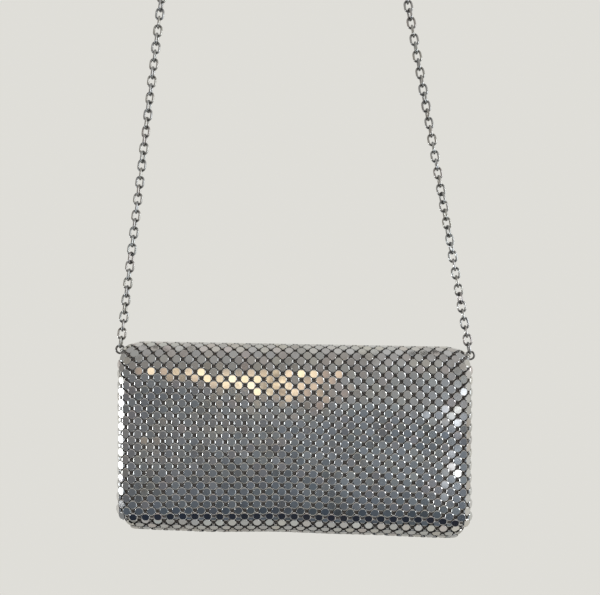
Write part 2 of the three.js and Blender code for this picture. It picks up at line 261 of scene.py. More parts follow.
class PurseDiscs(PropertyGroup):
    pitch: mm("Pitch", "Between discs of one row", 7.07)
    radius: mm("Radius", "Of a disc between its arms", 2.44)
    bevel: mm("Bevel", "Width of a disc's worn edge", 0.27)
    thickness: mm("Thickness", "Of a disc", 0.36)
    arm_width: mm("Arm width", "Of a disc's four arms", 1.7)
    arm_thickness: mm("Arm thickness", "Of its sheet", 0.2)
    ring_radius: mm("Ring radius", "Of the rings that link the discs", 1.42)
    ring_wire: mm("Ring wire", "Its radius", 0.2)
    ring_depth: mm("Ring depth", "Under the discs", 0.95)
    tilt: degrees("Tilt", "How far discs lean by chance", 0.45)
    seed: IntProperty(name="Seed", description="Of the chance tilts", default=7)


class PurseChain(PropertyGroup):
    link_length: mm("Link length", "Outside", 7.7)
    link_width: mm("Link width", "Outside", 5.4)
    wire: mm("Wire", "Radius of a link's wire", 0.665)
    slack: mm("Slack", "Between links that touch", 0.1)
    peg_radius: mm("Peg", "Radius that the chain bends over", 15.3)
    ring_radius: mm("End ring", "To the middle of its wire", 2.3)
    ring_wire: mm("End ring wire", "Its radius", 0.6)
    twist: degrees("Twist", "How far links turn by chance", 9)
    seed: IntProperty(name="Seed", description="Of the chance turns", default=11)


class PurseFinish(PropertyGroup):
    plating: paint("Plating", "Of the discs", (0.66, 0.65, 0.645))
    tarnish: paint("Tarnish", "In patches on the metal", (0.36, 0.33, 0.31))
    chain: paint("Chain", "Of the chain and its rings", (0.5, 0.5, 0.5))
    cloth: paint("Cloth", "Behind the mesh", (0.3, 0.27, 0.25))


class PurseStage(PropertyGroup):
    distance: mm("Distance", "Camera to the flap", 380)
    focal_pixels: number("Focal length", "In pixels of the photo", 675)
    photo_width: IntProperty(name="Photo width", description="In pixels", default=600)
    above: mm("Above", "Camera over the fold", 27.2)
    aside: mm("Aside", "Camera right of the middle", 2.25)
    roll: degrees("Roll", "Of the camera", -1.5)
    floor_height: mm("Floor", "Height of the floor", -1650)
    floor_radius: mm("Floor radius", "Of the floor", 900)
    floor_back: mm("Floor back", "Of the floor's middle", 700)


def smoothstep(value, low, high):
    """0 below low, 1 above high, and eased between them."""
    share = np.clip((value - low) / (high - low), 0, 1)
    return share * share * (3 - 2 * share)


def eased(table, key, place, column):
    """Reads a column of a table at many places, eased between its rows."""
    keys = np.array(table[key], float)
    values = np.array(table[column], float)
    after = np.clip(np.searchsorted(keys, place), 1, len(keys) - 1)
    share = smoothstep(place, keys[after - 1], keys[after])
    return values[after - 1] + (values[after] - values[after - 1]) * share


def unit_rows(vectors):
    return vectors / np.linalg.norm(vectors, axis=-1, keepdims=True)


class Pattern:
    """The shape of the soft purse, in metres, with the fold's top at the height that the frame gives."""

    def __init__(self, shape):
        self.s = shape
        self.fold = math.pi * shape.fold_radius
        curl_drop = shape.curl_radius * math.sin(shape.curl_angle)
        self.front = shape.height - shape.fold_radius - shape.end_height - curl_drop
        self.length = self.fold + self.front + shape.curl_radius * shape.curl_angle
        pouch_front = -(shape.fold_radius - shape.wall - shape.flap_clearance)
        self.half_depth = (shape.fold_radius - pouch_front) / 2
        self.middle = (shape.fold_radius + pouch_front) / 2
        self.pouch_half_width = shape.half_width - shape.wall - shape.side_clearance
        self.bottom_centre = -shape.height + self.half_depth
        self.bottom_way = math.pi / 2 * self.half_depth

    def drape(self, points):
        """Gives points of the plain purse, with the fold at z = 0, their places in the soft one."""
        s = self.s
        across = points[:, 0] / s.half_width
        down = -points[:, 2] / s.height
        loose = smoothstep(down, s.still, LOOSE)
        belly = 1 + s.belly * loose * np.sin(math.pi * np.minimum(down, 1)) * (1 - across * across)
        push = np.zeros(len(points))
        for at, below, reach, depth in zip(*SWELLS.values()):
            far = np.hypot((across - at) * s.half_width, (down - below) * s.height)
            push += depth * 2 * s.fold_radius * np.exp(-((far / (reach * s.height)) ** 2))
        shoulder = s.shoulder_drop * smoothstep(np.abs(across), s.shoulder_start, 1) * (1 - loose)
        drop = (eased(HEM, "across", across, "drop") * loose + shoulder) * s.height
        x = points[:, 0] - s.sway * points[:, 2]
        soft = np.stack([x, points[:, 1] * belly + push * loose, points[:, 2] - drop], axis=1)
        return soft @ FOLD_TURN + FOLD_PLACE

    def flap_width(self, length):
        """The flat half width of the flap and the angle of its side's bend, at places along it."""
        along = length / self.length
        flat = eased(FLAP_SIDES, "along", along, "flat") * self.s.half_width
        return flat, np.radians(eased(FLAP_SIDES, "along", along, "turn"))

    def flap(self, side, length, depth):
        """Points of the flap: side runs from -2 to 2, with its bends past -1 and 1.

        depth goes into its wall.
        """
        s = self.s
        flat, turn = self.flap_width(length)
        bend = np.maximum(np.abs(side) - 1, 0) * turn
        x = np.sign(side) * (np.minimum(np.abs(side), 1) * flat + (s.side_radius - depth) * np.sin(bend))
        inward = s.side_radius - (s.side_radius - depth) * np.cos(bend)
        fold = np.minimum(length, self.fold) / s.fold_radius
        curl = np.maximum(length - self.fold - self.front, 0) / s.curl_radius
        below = np.clip(length - self.fold, 0, self.front)
        out_y = np.where(length <= self.fold, np.cos(fold), -np.cos(curl))
        out_z = np.where(length <= self.fold, np.sin(fold), -np.sin(curl))
        y = s.fold_radius * np.cos(fold) + s.curl_radius * (1 - np.cos(curl))
        hung = smoothstep(length, self.fold, self.length)
        edge = eased(FLAP_EDGE, "across", x / s.half_width, "drop") * s.height * hung
        z = s.fold_radius * (np.sin(fold) - 1) - below - s.curl_radius * np.sin(curl) - edge
        return self.drape(np.stack([x, y - out_y * inward, z - out_z * inward], axis=1))

    def flap_sheet(self, across, length, depth):
        """Points of the flap for places measured along its cloth, drawn in where the fold is narrower."""
        flat, turn = self.flap_width(length)
        bent = self.s.side_radius * turn
        place = across * (flat + bent) / self.flap_reach()
        past = (np.abs(place) - flat) / bent
        side = np.where(np.abs(place) <= flat, place / flat, np.sign(place) * (1 + past))
        return self.flap(side, length, depth)

    def flap_reach(self):
        """The half width of the flap's cloth, its bends laid flat, where it is widest."""
        flat, turn = self.flap_width(np.linspace(0, self.length, 60))
        return float(np.max(flat + self.s.side_radius * turn))

    def pouch_lengths(self):
        """How long each stretch round the pouch is, from the middle of its right side by its back."""
        corner = math.pi / 2 * self.s.corner_radius
        flat_x = 2 * (self.pouch_half_width - self.s.corner_radius)
        flat_y = self.half_depth - self.s.corner_radius
        return np.array([flat_y, corner, flat_x, corner, 2 * flat_y, corner, flat_x, corner, flat_y])

    def pouch_outline(self, around, shrink):
        """x and y of places round the pouch, measured along its widest outline, for one inset each."""
        half_width = self.pouch_half_width - shrink
        half_depth = self.half_depth - shrink
        radius = np.maximum(self.s.corner_radius - shrink, 0)
        flat_x = half_width - radius
        flat_y = np.maximum(half_depth - radius, 0)
        lengths = self.pouch_lengths()
        starts = np.concatenate([[0], np.cumsum(lengths)])
        around = np.mod(around, starts[-1])
        stretch = np.clip(np.searchsorted(starts, around, side="right") - 1, 0, 8)
        share = (around - starts[stretch]) / np.maximum(lengths[stretch], 1e-9)
        flats = [stretch == index for index in (0, 2, 4, 6, 8)]
        along_x = [half_width, flat_x * (1 - 2 * share), -half_width, flat_x * (2 * share - 1), half_width]
        along_y = [flat_y * share, half_depth, flat_y * (1 - 2 * share), -half_depth, flat_y * (share - 1)]
        x = np.select(flats, along_x)
        y = np.select(flats, along_y)
        for quarters, (sign_x, sign_y) in enumerate(((1, 1), (-1, 1), (-1, -1), (1, -1))):
            corner = stretch == 2 * quarters + 1
            angle = quarters * math.pi / 2 + share * math.pi / 2
            x = np.where(corner, sign_x * flat_x + radius * np.cos(angle), x)
            y = np.where(corner, sign_y * flat_y + radius * np.sin(angle), y)
        return x, y

    def pouch_rim(self, y):
        s = self.s
        return -(s.fold_radius + s.seam_gap) - s.mouth_drop * (s.fold_radius - y) / (2 * s.fold_radius)

    def pouch(self, around, up, depth):
        """Points of the pouch: around its outline, and up from the ridge of its bottom along it."""
        around = np.where(up < 0, np.sum(self.pouch_lengths()) - around, around)
        up = np.abs(up)
        radius = self.half_depth - depth
        angle = np.clip(1 - up / self.bottom_way, 0, 1) * math.pi / 2
        x, y = self.pouch_outline(around, depth + radius * (1 - np.cos(angle)))
        z = self.bottom_centre - radius * np.sin(angle) + np.maximum(up - self.bottom_way, 0)
        return self.drape(np.stack([x, y + self.middle, z], axis=1))

    def pouch_height(self):
        """From the ridge of the bottom to the back of the mouth, along the surface."""
        return self.bottom_way + self.pouch_rim(self.s.fold_radius) - self.bottom_centre


def make_object(name, points, corners, sizes, smooth, attributes=()):
    """A mesh object from flat arrays: points, the corners of all faces, and each face's corner count."""
    data = bpy.data.meshes.new(name)
    data.vertices.add(len(points))
    data.vertices.foreach_set("co", np.asarray(points, np.float32).ravel())
    data.loops.add(len(corners))
    data.loops.foreach_set("vertex_index", np.asarray(corners, np.int32))
    data.polygons.add(len(sizes))
    starts = np.concatenate([[0], np.cumsum(sizes)[:-1]])
    data.polygons.foreach_set("loop_start", starts.astype(np.int32))
    for title, values in attributes:
        layer = data.attributes.new(title, "FLOAT", "POINT")
        layer.data.foreach_set("value", np.asarray(values, np.float32))
    data.update(calc_edges=True)
    data.validate()
    data.set_sharp_from_angle(angle=CREASE)
    data.polygons.foreach_set("use_smooth", np.asarray(smooth, bool))
    piece = bpy.data.objects.new(name, data)
    bpy.context.scene.collection.objects.link(piece)
    return piece


class Unit:
    """A small shape that is stamped many times: its points and faces, where it is smooth and worn, and how
    dark painted shade makes it.

    line is how much more painted shade it gets where the shapes lie over each other, as dark lines between
    them.
    """

    def __init__(self):
        self.points, self.worn, self.dark, self.line = [], [], [], []
        self.faces, self.smooth = [], []

    def add_points(self, points, worn, dark=0.0, line=0.0):
        self.points += points
        self.worn += [worn] * len(points)
        self.dark += [dark] * len(points)
        self.line += [line] * len(points)

    def add_faces(self, faces, smooth=True):
        self.faces += faces
        self.smooth += [smooth] * len(faces)

    def add_loop(self, steps, sides):
        """The faces of a tube that runs back into itself, once all its points are there."""
        for step in range(steps):
            here, there = step * sides, (step + 1) % steps * sides
            for side in range(sides):
                after = (side + 1) % sides
                self.add_faces([(here + side, there + side, there + after, here + after)])


def disc_unit(discs):
    """A flat disc with a bevelled edge, a little flattened where its arms are."""
    unit = Unit()
    sides = 4 * len(DISC_OUTLINE)
    edge = BEVEL_DEPTH * discs.bevel
    # Each row's inset and depth, how worn it is, how dark painted shade makes the disc's side and
    # underside, and how much painted shade darkens it where discs lie over each other.
    rows = [
        (discs.bevel, 0.0, 0.0, 0.0, 0.0),
        (discs.bevel, 0.0, 1.0, 0.0, 0.0),
        (0.0, edge, 1.0, 0.0, 1.0),
        (0.0, edge, 0.0, 0.9, 0.1),
        (0.1 * discs.bevel, discs.thickness, 0.0, 0.9, 0.1),
    ]
    for inset, depth, *looks in rows:
        points = []
        for side in range(sides):
            turn = 2 * math.pi * side / sides
            radius = discs.radius * DISC_OUTLINE[side % len(DISC_OUTLINE)] - inset
            points.append((radius * math.cos(turn), radius * math.sin(turn), -depth))
        unit.add_points(points, *looks)
    unit.add_faces([tuple(range(sides))], False)
    for row in (1, 3):
        low, high = row * sides, (row + 1) * sides
        for side in range(sides):
            after = (side + 1) % sides
            unit.add_faces([(low + after, low + side, high + side, high + after)])
    unit.add_faces([tuple(reversed(range(4 * sides, 5 * sides)))], False)
    return unit


def add_arms(unit, discs):
    """Four arms of sheet that bend back from a disc's edge and hook under the rings."""
    line = [(out * MM, -depth * MM, width) for out, depth, width in zip(*ARM.values())]
    last = 3 * (len(line) - 1)
    for turn in range(4):
        cosine, sine = math.cos(turn * math.pi / 2), math.sin(turn * math.pi / 2)
        points = []
        for index, (far, height, width) in enumerate(line):
            before = line[max(index - 1, 0)]
            after = line[min(index + 1, len(line) - 1)]
            slope = math.atan2(after[1] - before[1], after[0] - before[0])
            for side, up in ((-1, 0.5), (1, 0.5), (0, -0.5)):
                out = far - math.sin(slope) * up * discs.arm_thickness
                rise = height + math.cos(slope) * up * discs.arm_thickness
                sideways = side * width * discs.arm_width / 2
                points.append((cosine * out - sine * sideways, sine * out + cosine * sideways, rise))
        faces = [(0, 1, 2)]
        for start in range(0, last, 3):
            for side in range(3):
                after = (side + 1) % 3
                faces.append((start + side, start + 3 + side, start + 3 + after, start + after))
        faces.append((last + 2, last + 1, last))
        first = len(unit.points)
        # Where discs lie over each other, painted shade darkens the arms a little.
        unit.add_points(points, worn=0.7, line=0.15)
        unit.add_faces([tuple(first + corner for corner in face) for face in faces])


def torus_unit(radius, wire, steps, sides, height=0.0, dark=0.0):
    """A round ring of wire, darkened by painted shade as much as dark says."""
    unit = Unit()
    for step in range(steps):
        turn = 2 * math.pi * step / steps
        for side in range(sides):
            roll = 2 * math.pi * side / sides
            far = radius + wire * math.cos(roll)
            point = (far * math.cos(turn), far * math.sin(turn), height + wire * math.sin(roll))
            unit.add_points([point], worn=0.4, dark=dark)
    unit.add_loop(steps, sides)
    return unit


def link_unit(chain):
    """An oval link of round wire, long along its first direction and flat in its first two."""
    unit = Unit()
    sides = 8
    bend_steps = 8
    radius = chain.link_width / 2 - chain.wire
    straight = chain.link_length / 2 - chain.wire - radius
    for end in (1, -1):
        for step in range(bend_steps + 1):
            turn = math.pi * (step / bend_steps - 0.5)
            x, y = end * (straight + radius * math.cos(turn)), end * radius * math.sin(turn)
            out = (end * math.cos(turn), end * math.sin(turn))
            # Painted shade at the link's ends, where the neighbouring links sit, darker on the inner side
            # of the wire.
            contact_shade = min(max((math.cos(turn) - 0.35) / 0.45, 0), 1)
            for side in range(sides):
                roll = 2 * math.pi * side / sides
                far = chain.wire * math.cos(roll)
                point = (x + out[0] * far, y + out[1] * far, chain.wire * math.sin(roll))
                dark = contact_shade * (0.8 - 0.15 * math.cos(roll))
                unit.add_points([point], worn=0.35, dark=dark)
    unit.add_loop(2 * (bend_steps + 1), sides)
    return unit


def stamp(name, unit, places, frames, tones, lined=False):
    """One mesh of a unit at many places. frames holds each place's three directions as rows.

    lined says at which places painted shade darkens the shapes' edges, as dark lines between them.
    """
    points = places[:, None, :] + np.array(unit.points)[None] @ frames
    count = len(unit.points)
    many = len(places)
    corners = np.array([corner for face in unit.faces for corner in face])
    all_corners = (corners[None] + count * np.arange(many)[:, None]).ravel()
    # Painted shade: dark lines at the edges of shapes that lie over each other.
    painted_shade_lines = np.tile(unit.line, many) * np.repeat(np.broadcast_to(lined, many), count)
    attributes = [
        ("worn", np.tile(unit.worn, many)),
        ("dark", np.tile(unit.dark, many) + painted_shade_lines),
        ("tone", np.repeat(tones, count)),
    ]
    sizes = np.tile([len(face) for face in unit.faces], many)
    smooth = np.tile(unit.smooth, many)
    return make_object(name, points.reshape(-1, 3), all_corners, sizes, smooth, attributes)


def frames_on(surface, first, second, pitch):
    """Places on a surface and their directions: along it, up it and out of it. second runs down it.

    Places where the surface runs together to a point are left out, and so are those too near to one
    before them.
    """
    step = SURFACE_STEP * pitch
    whole = np.linalg.norm(surface(first + step, second) - surface(first - step, second), axis=1) > step
    first, second = first[whole], second[whole]
    kept = apart(surface(first, second), LEAST_APART * pitch / math.sqrt(2))
    first, second = first[kept], second[kept]
    along = unit_rows(surface(first + step, second) - surface(first - step, second))
    down = surface(first, second + step) - surface(first, second - step)
    down = unit_rows(down - np.sum(down * along, axis=1, keepdims=True) * along)
    return surface(first, second), np.stack([along, -down, np.cross(down, along)], axis=1)


def lean(frames, tips):
    """Tilts each frame along and up its surface."""
    out = unit_rows(frames[:, 2] + tips[:, :1] * frames[:, 0] + tips[:, 1:] * frames[:, 1])
    along = unit_rows(frames[:, 0] - np.sum(frames[:, 0] * out, axis=1, keepdims=True) * out)
    return np.stack([along, np.cross(out, along), out], axis=1)


def apart(places, distance):
    """Which places stay when each has to lie this far from those kept before it."""
    kept = []
    cells = {}
    for index, place in enumerate(places):
        x, y, z = np.floor(place / distance).astype(int)
        near = [
            other
            for dx, dy, dz in itertools.product((-1, 0, 1), repeat=3)
            for other in cells.get((x + dx, y + dy, z + dz), ())
        ]
        if all(np.linalg.norm(places[other] - place) >= distance for other in near):
            kept.append(index)
            cells.setdefault((x, y, z), []).append(index)
    return np.array(kept, int)


def staggered(rows, columns, pitch, shift):
    """Pairs of places in rows half a pitch apart, every other row moved along by half a pitch."""
    first = [column * pitch + (index + shift) % 2 * pitch / 2 for index, row in rows for column in columns]
    second = [row for index, row in rows for column in columns]
    return np.array(first), np.array(second)


def feed(tree, value, socket):
    """Gives a socket a number, a colour or what another node puts out."""
    if isinstance(value, (int, float)):
        socket.default_value = value
    elif isinstance(value, tuple):
        socket.default_value = (*value, 1)
    else:
        tree.links.new(value, socket)


def feed_all(tree, node, inputs):
    """Feeds some of a node's inputs, with _ for a space in their names."""
    for title, value in inputs.items():
        feed(tree, value, node.inputs[title.replace("_", " ")])
    return node


def new_node(tree, kind, **inputs):
    return feed_all(tree, tree.nodes.new("ShaderNode" + kind), inputs)


def noise(tree, scale, detail, roughness):
    place = new_node(tree, "TexCoord").outputs["Object"]
    node = new_node(tree, "TexNoise", Scale=scale, Detail=detail, Roughness=roughness, Vector=place)
    return node.outputs["Fac"]


def calculate(tree, operation, first, second=0.0, clamp=False):
    node = tree.nodes.new("ShaderNodeMath")
    node.operation = operation
    node.use_clamp = clamp
    feed(tree, first, node.inputs[0])
    feed(tree, second, node.inputs[1])
    return node.outputs[0]


def times(tree, first, second):
    return calculate(tree, "MULTIPLY", first, second)


def plus(tree, first, second, clamp=False):
    return calculate(tree, "ADD", first, second, clamp)


def spread(tree, value, low, high, to_low=0.0, to_high=1.0):
    """Eases a value from one range into another."""
    ranges = {"From_Min": low, "From_Max": high, "To_Min": to_low, "To_Max": to_high}
    node = new_node(tree, "MapRange", Value=value, **ranges)
    node.interpolation_type = "SMOOTHSTEP"
    return node.outputs[0]


def blend_colours(tree, share, first, second, kind="MIX"):
    node = tree.nodes.new("ShaderNodeMix")
    node.data_type = "RGBA"
    node.blend_type = kind
    feed(tree, share, node.inputs["Factor"])
    for value, socket in zip((first, second), [socket for socket in node.inputs if socket.type == "RGBA"]):
        feed(tree, value, socket)
    return next(socket for socket in node.outputs if socket.type == "RGBA")


def colour_ramp(tree, value, places, colours):
    """Colours at places from 0 to 1."""
    node = tree.nodes.new("ShaderNodeValToRGB")
    tree.links.new(value, node.inputs[0])
    elements = node.color_ramp.elements
    while len(elements) < len(colours):
        elements.new(0.5)
    for element, place, colour in zip(elements, places, colours):
        element.position = place
        element.color = (*colour, 1)
    return node.outputs[0]


def new_material(name, **inputs):
    """A material, its node tree and its shader."""
    material = bpy.data.materials.new(name)
    material.use_nodes = True
    tree = material.node_tree
    return material, tree, feed_all(tree, tree.nodes["Principled BSDF"], inputs)


def add_bump(tree, shader, height, strength, distance):
    relief = new_node(tree, "Bump", Strength=strength, Distance=distance, Height=height)
    tree.links.new(relief.outputs["Normal"], shader.inputs["Normal"])


def metal_wear_and_shade_group():
    """Plated metal with faint grain, patches of tarnish, specks, a slight tint and edges rubbed bright, and
    painted shade that darkens it towards black where its Dark input says.
    """
    tree = bpy.data.node_groups.new("Plated metal wear", "ShaderNodeTree")
    inputs = {
        "Plating": (0.6, 0.6, 0.6, 1),
        "Tarnish": (0.3, 0.28, 0.26, 1),
        "Patch Scale": 60.0,
        "Grain Scale": 2500.0,
        "Polish": 0.16,
        "Worn": 0.0,
        "Dark": 0.0,
        "Tone": 0.5,
    }
    for title, default in inputs.items():
        kind = "NodeSocketFloat" if isinstance(default, float) else "NodeSocketColor"
        tree.interface.new_socket(title, in_out="INPUT", socket_type=kind).default_value = default
    for title, kind in (("Color", "Color"), ("Roughness", "Float"), ("Height", "Float")):
        tree.interface.new_socket(title, in_out="OUTPUT", socket_type="NodeSocket" + kind)
    given = tree.nodes.new("NodeGroupInput").outputs
    result = tree.nodes.new("NodeGroupOutput").inputs

    patches = noise(tree, given["Patch Scale"], 5, 0.62)
    grain = noise(tree, given["Grain Scale"], 3, 0.6)
    fine = noise(tree, 900.0, 4, 0.7)
    tarnished = times(tree, spread(tree, patches, 0.48, 0.72), 0.55)
    toned = times(tree, spread(tree, given["Tone"], 0.55, 1.0), 0.35)
    specks = times(tree, spread(tree, fine, 0.58, 0.75), 0.35)
    dull = plus(tree, plus(tree, tarnished, toned, clamp=True), specks, clamp=True)
    rubbed = calculate(tree, "SUBTRACT", 1.0, times(tree, given["Worn"], 0.75))
    dull = times(tree, dull, rubbed)
    colour = blend_colours(tree, dull, given["Plating"], given["Tarnish"])
    colour = blend_colours(tree, times(tree, given["Worn"], 0.5), colour, (0.93, 0.92, 0.91))
    chosen = calculate(tree, "FRACT", times(tree, given["Tone"], 7.0))
    tint = colour_ramp(tree, chosen, np.linspace(0, 1, len(TINTS)), TINTS)
    colour = blend_colours(tree, TINTED, colour, tint, "MULTIPLY")
    # Painted shade: the Dark input blends the colour towards near black, a little unevenly.
    painted_shade = times(tree, given["Dark"], spread(tree, fine, 0.2, 0.7, 1.0, 0.85))
    tree.links.new(blend_colours(tree, painted_shade, colour, (0.03, 0.03, 0.032)), result["Color"])
    rough = plus(tree, given["Polish"], times(tree, dull, 0.12))
    tree.links.new(plus(tree, rough, spread(tree, grain, 0.3, 0.7, -0.01, 0.03)), result["Roughness"])
    tree.links.new(plus(tree, times(tree, grain, 0.35), times(tree, fine, 0.65)), result["Height"])
    return tree


def metal_material(name, plating, tarnish, polish, bump, worn="worn", tone="tone"):
    """A plated metal with its wear and painted shade from the shared group. Text stands for an attribute of
    the mesh.
    """
    material, tree, shader = new_material(name, Metallic=1.0)
    wear_and_shade = tree.nodes.new("ShaderNodeGroup")
    wear_and_shade.node_tree = bpy.data.node_groups.get("Plated metal wear") or metal_wear_and_shade_group()
    values = {"Plating": plating, "Tarnish": tarnish, "Polish": polish}
    for title, value in {**values, "Dark": "dark", "Worn": worn, "Tone": tone}.items():
        if isinstance(value, str):
            node = tree.nodes.new("ShaderNodeAttribute")
            node.attribute_name = value
            value = node.outputs["Fac"]
        feed(tree, value, wear_and_shade.inputs[title])
    add_bump(tree, shader, wear_and_shade.outputs["Height"], bump, 0.02 * MM)
    looks = {"Base Color": wear_and_shade.outputs["Color"], "Roughness": wear_and_shade.outputs["Roughness"]}
    feed_all(tree, shader, looks)
    return material


def scaled(colour, share):
    return tuple(share * part for part in colour)


def cloth_material(name, colour):
    """Dark satin with a fine weave."""
    material, tree, shader = new_material(name, Roughness=0.8, Sheen_Weight=0.15)
    place = new_node(tree, "TexCoord").outputs["Object"]
    threads = []
    for direction in ("X", "Z"):
        wave = new_node(tree, "TexWave", Scale=900, Distortion=1.5, Vector=place)
        wave.bands_direction = direction
        threads.append(wave.outputs["Fac"])
    weave = times(tree, *threads)
    mixed = times(tree, plus(tree, weave, noise(tree, 45.0, 4, 0.6)), 0.5)
    colour = blend_colours(tree, mixed, scaled(colour, 0.55), tuple(colour))
    tree.links.new(colour, shader.inputs["Base Color"])
    add_bump(tree, shader, weave, 0.4, 0.08 * MM)
    return material


def material_named(name):
    """Each finish of the purse, made when it is first asked for."""
    found = bpy.data.materials.get(name)
    if found:
        return found
    finish = bpy.context.scene.purse_finish
    plating, tarnish = tuple(finish.plating), tuple(finish.tarnish)
    if name == "plated_discs":
        return metal_material(name, plating, tarnish, polish=0.07, bump=0.06)
    if name == "linking_rings":
        # The rings are a darker copy of the disc plating: painted shade for the rings that lie under the
        # discs.
        plating, tarnish = scaled(plating, 0.8), scaled(tarnish, 0.5)
        return metal_material(name, plating, tarnish, polish=0.22, bump=0.3, worn=0.2)
    if name == "chain_steel":
        return metal_material(name, tuple(finish.chain), tarnish, polish=0.13, bump=0.3)
    if name == "snap_steel":
        return metal_material(name, plating, tarnish, polish=0.3, bump=0.5, worn=0.1, tone=0.4)
    return cloth_material(name, finish.cloth)


def dress(piece, node, finish):
    """Gives a piece its material and its place in the model."""
    piece.data.materials.append(material_named(finish))
    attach(piece, "root")
    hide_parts(node)


def rolled(places, shape):
    """How far up or down the discs at these places of the flap's front lean, as a tangent."""
    own = (places - FOLD_PLACE) @ FOLD_TURN.T
    down = -own[:, 2] / shape.height - ROLL_SLOPE * (own[:, 0] / shape.half_width - ROLL_MIDDLE)
    return np.tan(np.radians(eased(ROLL, "down", down, "lean")))


def stamp_discs(context, name, node, surface, first, second, arms=True):
    """Discs at places on a surface, with their arms where these can be seen."""
    discs = context.scene.purse_discs
    shape = context.scene.purse_shape
    chance = np.random.default_rng(discs.seed + len(name))
    places, frames = frames_on(surface, first, second, discs.pitch)
    tips = discs.tilt * np.clip(chance.standard_t(4, (len(places), 2)), -LEAN_LIMIT, LEAN_LIMIT)
    if name == "flap_front":
        tips[:, 1] += rolled(places, shape)
    if name == "pouch_bottom":
        tips[:, 1] -= BOTTOM_LEAN * np.clip(BOTTOM_FADE * (1 + frames[:, 2, 2]) - BOTTOM_END, 0, 1)
    unit = disc_unit(discs)
    if arms:
        add_arms(unit, discs)
    aside = np.abs((places - FOLD_PLACE) @ FOLD_TURN[0]) / shape.half_width
    lined = (aside > LINED_SIDES) | (name in LINED)
    piece = stamp(name + "_discs", unit, places, lean(frames, tips), chance.random(len(places)), lined)
    dress(piece, node, "plated_discs")


def stamp_rings(context, name, node, surface, first, second):
    """The rings between the discs of a surface, a little under it."""
    discs = context.scene.purse_discs
    chance = np.random.default_rng(discs.seed)
    places, frames = frames_on(surface, first, second, discs.pitch)
    unit = torus_unit(discs.ring_radius, discs.ring_wire, steps=10, sides=4, height=-discs.ring_depth)
    tips = chance.normal(0, RING_LEAN, (len(places), 2))
    piece = stamp(name + "_link_rings", unit, places, lean(frames, tips), chance.random(len(places)))
    dress(piece, node, "linking_rings")


class PURSE_OT_flap(Operator):
    """Make the flap: discs and the rings between them"""

    bl_idname = "purse.flap"
    bl_label = "Flap"

    def execute(self, context):
        pattern = Pattern(context.scene.purse_shape)
        discs = context.scene.purse_discs
        edge = discs.radius + FLAP_MARGIN
        half = discs.pitch / 2
        count = int((pattern.length - 2 * edge) / half)
        rows = [(index, pattern.length - edge - index * half) for index in range(count + 1)]
        reach = pattern.flap_reach() - edge

        def surface(first, second):
            return pattern.flap_sheet(first, second, 0.0)

        bands = {
            "flap_fold": [row for row in rows if row[1] < pattern.fold],
            "flap_front": [row for row in rows if row[1] >= pattern.fold],
        }
        for name, band in bands.items():
            first, second = staggered(band, FLAP_COLUMNS, discs.pitch, 0)
            inside = np.abs(first) <= reach
            stamp_discs(context, name, "mesh_flap", surface, first[inside], second[inside])
        first, second = staggered(rows, FLAP_COLUMNS, discs.pitch, 1)
        inside = np.abs(first) <= reach + RINGS_BEYOND * half
        stamp_rings(context, "flap", "mesh_flap", surface, first[inside], second[inside])
        return {"FINISHED"}


class PURSE_OT_pouch(Operator):
    """Make the pouch: discs and the rings between them"""

    bl_idname = "purse.pouch"
    bl_label = "Pouch"

    def execute(self, context):
        pattern = Pattern(context.scene.purse_shape)
        discs = context.scene.purse_discs
        around = float(np.sum(pattern.pouch_lengths()))
        columns = 2 * round(around / discs.pitch / 2)
        half = discs.pitch / 2
        rows = [(index, -index * half) for index in range(int(pattern.pouch_height() / half) + 1)]

        def surface(first, second):
            return pattern.pouch(first, -second, 0.0)

        def spots(shift):
            first, second = staggered(rows, range(columns), around / columns, shift)
            where = surface(first, second)
            height = pattern.bottom_centre - second - pattern.bottom_way
            inside = height < pattern.pouch_rim(where[:, 1]) - discs.radius
            return first[inside], second[inside], where[inside]

        first, second, where = spots(0)
        low = second > -pattern.bottom_way
        back = ~low & (where[:, 1] > pattern.middle)
        for name, band in {"pouch_bottom": low, "pouch_back": back, "pouch_front": ~low & ~back}.items():
            arms = name != "pouch_front"
            stamp_discs(context, name, "mesh_pouch", surface, first[band], second[band], arms)
        first, second, where = spots(1)
        stamp_rings(context, "pouch", "mesh_pouch", surface, first, second)
        return {"FINISHED"}


def grid_sheet(name, outer, inner, ring):
    """A thin closed sheet between two grids of points. ring joins its last column to its first."""
    rows, columns = outer.shape[:2]
    points = np.concatenate([outer.reshape(-1, 3), inner.reshape(-1, 3)])
    faces = []

    def add_face(*corners):
        faces.append([(layer * rows + row) * columns + column % columns for layer, row, column in corners])

    for left in range(columns if ring else columns - 1):
        right = left + 1
        for row in range(rows - 1):
            add_face((0, row, left), (0, row + 1, left), (0, row + 1, right), (0, row, right))
            add_face((1, row, left), (1, row, right), (1, row + 1, right), (1, row + 1, left))
        last = rows - 1
        add_face((0, 0, left), (0, 0, right), (1, 0, right), (1, 0, left))
        add_face((1, last, left), (1, last, right), (0, last, right), (0, last, left))
    for row in range(0 if ring else rows - 1):
        end = columns - 1
        add_face((0, row, 0), (1, row, 0), (1, row + 1, 0), (0, row + 1, 0))
        add_face((0, row, end), (0, row + 1, end), (1, row + 1, end), (1, row, end))
    return make_object(name, points, np.ravel(faces), [4] * len(faces), [True] * len(faces))


def grid_area(grid, ring):
    """The area of a grid of points."""
    if ring:
        grid = np.concatenate([grid, grid[:, :1]], axis=1)
    first = grid[1:, 1:] - grid[:-1, :-1]
    second = grid[1:, :-1] - grid[:-1, 1:]
    return float(np.sum(np.linalg.norm(np.cross(first, second), axis=2)) / 2)


def line_mesh(name, node, surface, first, second, wall, ring):
    """A cloth behind the mesh of a surface, from grids of its places, and the area of its outer side."""
    outer, inner = (
        surface(first.ravel(), second.ravel(), wall + side * CLOTH_HALF).reshape(*first.shape, 3)
        for side in (-1, 1)
    )
    piece = grid_sheet(name, outer, inner, ring)
    dress(piece, node, "dark_satin")
    return piece, grid_area(outer, ring)


